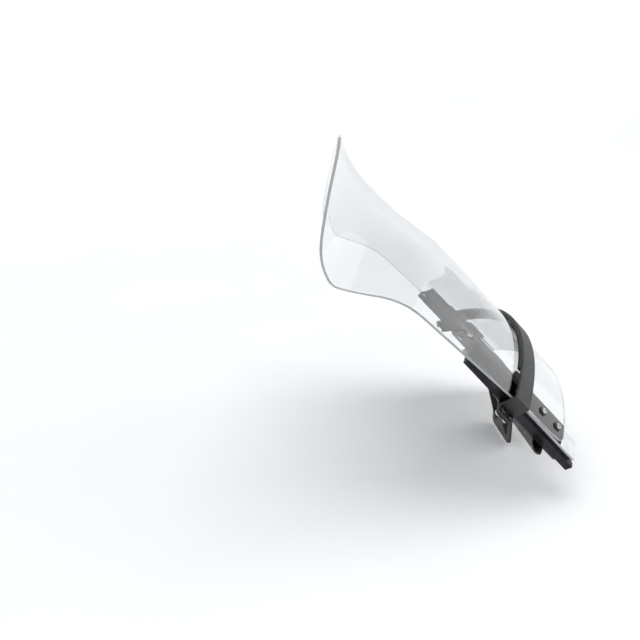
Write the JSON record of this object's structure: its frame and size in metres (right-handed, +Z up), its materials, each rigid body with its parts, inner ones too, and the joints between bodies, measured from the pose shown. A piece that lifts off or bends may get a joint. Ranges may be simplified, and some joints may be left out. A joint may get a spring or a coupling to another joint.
{
  "type": "motorcycle windshield screen",
  "caption": "Clear bowed touring windscreen with flipped-up top, on side slide rails with lock levers, rubber-lipped foot trim and bolt-on stay.",
  "frame": {"origin": "centre of the four bolt holes on the front face of the stay's mounting plate, screen at its lowest position", "axes": "+Z up, -Y the way the motorcycle faces, +X the rider's left; symmetric about X = 0"},
  "size_m": [0.6594, 0.425, 0.5526],
  "materials": {
    "clear_sheet": "clear hard-coated polycarbonate, polished",
    "garnish_plastic": "fine-grained black moulding",
    "black_rubber": "matt",
    "black_nylon": "satin",
    "natural_nylon": "satin, natural",
    "zinc_steel": "bright zinc plated",
    "black_steel": "black zinc plated",
    "spring_steel": "blued spring strip",
    "bronze": "sintered bronze",
    "anodised_aluminium": "clear anodised extrusion",
    "black_aluminium": "black anodised",
    "stay_paint": "satin black powder coat",
    "lever_paint": "satin black paint on a die casting"
  },
  "bodies": {
    "mount_frame": {"rail_bolts": "zinc_steel", "rail_nuts": "zinc_steel", "stop_screws": "zinc_steel", "guide_screws": "zinc_steel", "garnish": "garnish_plastic", "garnish_seal": "black_rubber", "garnish_screws": "black_steel", "garnish_washers": "black_nylon", "garnish_nuts": "zinc_steel", "screen_stay": "stay_paint", "rail_left": "black_aluminium", "rail_right": "black_aluminium", "bump_stops_left": "black_rubber", "bump_stops_right": "black_rubber", "clamp_guide_left": "black_aluminium", "clamp_guide_right": "black_aluminium", "clamp_spring_left": "spring_steel", "clamp_spring_right": "spring_steel", "lever_bush_left": "bronze", "lever_bush_right": "bronze"},
    "screen_carriage": {"windscreen": "clear_sheet", "screen_screws": "zinc_steel", "screen_washers": "black_nylon", "screen_sleeves": "black_rubber", "screen_nuts": "zinc_steel", "carrier_left": "anodised_aluminium", "carrier_right": "anodised_aluminium", "screen_pad_left": "black_rubber", "screen_pad_right": "black_rubber", "glide_strips_left": "natural_nylon", "glide_strips_right": "natural_nylon"},
    "lever_left": {"lock_cam_left": "zinc_steel", "lever_shaft_left": "zinc_steel", "lock_lever_left": "lever_paint", "lever_grip_left": "black_rubber", "lever_nut_left": "zinc_steel"},
    "lever_right": {"lock_cam_right": "zinc_steel", "lever_shaft_right": "zinc_steel", "lock_lever_right": "lever_paint", "lever_grip_right": "black_rubber", "lever_nut_right": "zinc_steel"},
    "clamp_left": {"clamp_shoe_left": "natural_nylon"},
    "clamp_right": {"clamp_shoe_right": "natural_nylon"}
  },
  "joints": [
    {"name": "screen_slide", "type": "slide", "parent": "mount_frame", "child": "screen_carriage", "axis": [0, 0.6921, 0.7218], "range_m": [0, 0.1]},
    {"name": "lever_left_swing", "type": "hinge", "parent": "mount_frame", "child": "lever_left", "pos_m": [0.18098, 0.01172, 0.13303], "axis": [0.4899, -0.6292, 0.6034], "range_deg": [0, 90]},
    {"name": "lever_right_swing", "type": "hinge", "parent": "mount_frame", "child": "lever_right", "pos_m": [-0.18098, 0.01172, 0.13303], "axis": [0.4899, 0.6292, -0.6034], "range_deg": [0, 90]},
    {"name": "clamp_left_slide", "type": "slide", "parent": "mount_frame", "child": "clamp_left", "axis": [-0.8718, -0.3536, 0.3391], "range_m": [0, 0.00161]},
    {"name": "clamp_right_slide", "type": "slide", "parent": "mount_frame", "child": "clamp_right", "axis": [0.8718, -0.3536, 0.3391], "range_m": [0, 0.00161]}
  ],
  "couplings": [
    {"joint": "clamp_left_slide", "follows": "lever_left_swing", "m_per_rad": 0.0010186},
    {"joint": "clamp_right_slide", "follows": "lever_right_swing", "m_per_rad": 0.0010186}
  ]
}
